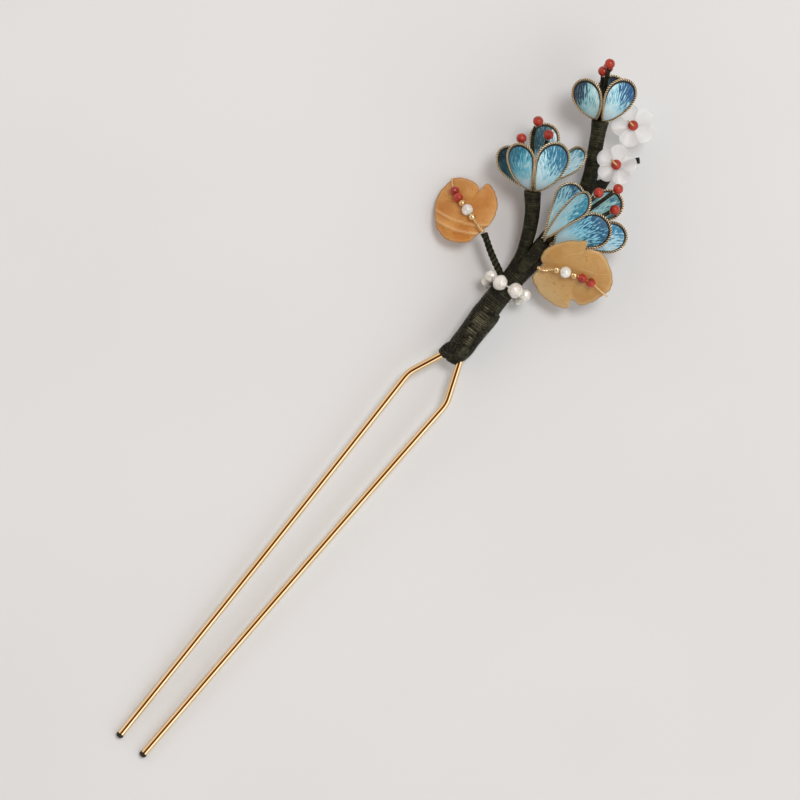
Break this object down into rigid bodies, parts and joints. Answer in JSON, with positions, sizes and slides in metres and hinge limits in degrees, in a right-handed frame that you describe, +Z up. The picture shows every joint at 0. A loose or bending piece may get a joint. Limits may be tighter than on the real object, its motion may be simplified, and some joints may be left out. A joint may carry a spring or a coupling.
{
  "type": "u-shaped hairpin",
  "caption": "U-shaped gold wire hairpin bound with dark thread to a twig of silk flowers, amber leaves, pearls and shell blossoms.",
  "frame": {"origin": "under the middle of the hairpin's box, on the surface it lies on", "axes": "+Y from the prongs' tips to the flowers, +Z up from the surface, +X to the right seen from above"},
  "size_m": [0.0396, 0.1679, 0.0184],
  "materials": {
    "fork_wire": "polished warm gold plating",
    "gold_cord": "twisted gold cord with dark gaps",
    "fine_wire": "polished gold wire",
    "gold_beads": "bright gold plating",
    "binding_thread": "waxed dark thread, close wound",
    "stem_thread": "dark silk thread, close wound",
    "silk": "embroidered silk, pale at the foot and deep blue at the tip",
    "amber_leaf": "translucent amber, softly polished",
    "pearl": "nacre",
    "red_beads": "polished red coral",
    "shell": "translucent white shell, polished"
  },
  "bodies": {
    "root": {"fork": "fork_wire", "binding": "binding_thread", "main_stem": "stem_thread", "branch_left": "stem_thread", "branch_right": "stem_thread", "twig_leaf": "stem_thread", "twig_shell": "stem_thread", "petal_left_1": "silk", "petal_left_2": "silk", "petal_left_3": "silk", "petal_left_4": "silk", "petal_left_5": "silk", "petal_right_1": "silk", "petal_right_2": "silk", "petal_right_3": "silk", "petal_right_4": "silk", "petal_right_5": "silk", "petal_top_1": "silk", "petal_top_2": "silk", "petal_top_3": "silk", "petal_top_4": "silk", "petal_top_5": "silk", "rim_left_1": "gold_cord", "rim_left_2": "gold_cord", "rim_left_3": "gold_cord", "rim_left_4": "gold_cord", "rim_left_5": "gold_cord", "rim_right_1": "gold_cord", "rim_right_2": "gold_cord", "rim_right_3": "gold_cord", "rim_right_4": "gold_cord", "rim_right_5": "gold_cord", "rim_top_1": "gold_cord", "rim_top_2": "gold_cord", "rim_top_3": "gold_cord", "rim_top_4": "gold_cord", "rim_top_5": "gold_cord", "stamens_left": "stem_thread", "stamens_right": "stem_thread", "stamens_top": "stem_thread", "stamen_beads_left": "red_beads", "stamen_beads_right": "red_beads", "stamen_beads_top": "red_beads", "leaf_left": "amber_leaf", "leaf_right": "amber_leaf", "leaf_wire_left": "fine_wire", "leaf_wire_right": "fine_wire", "leaf_pearl_left": "pearl", "leaf_pearl_right": "pearl", "gold_beads_left": "gold_beads", "gold_beads_right": "gold_beads", "red_beads_left": "red_beads", "red_beads_right": "red_beads", "pearl_collar": "pearl", "collar_thread": "stem_thread", "shell_upper": "shell", "shell_lower": "shell", "shell_beads": "red_beads", "shell_wires": "fine_wire"}
  },
  "joints": []
}
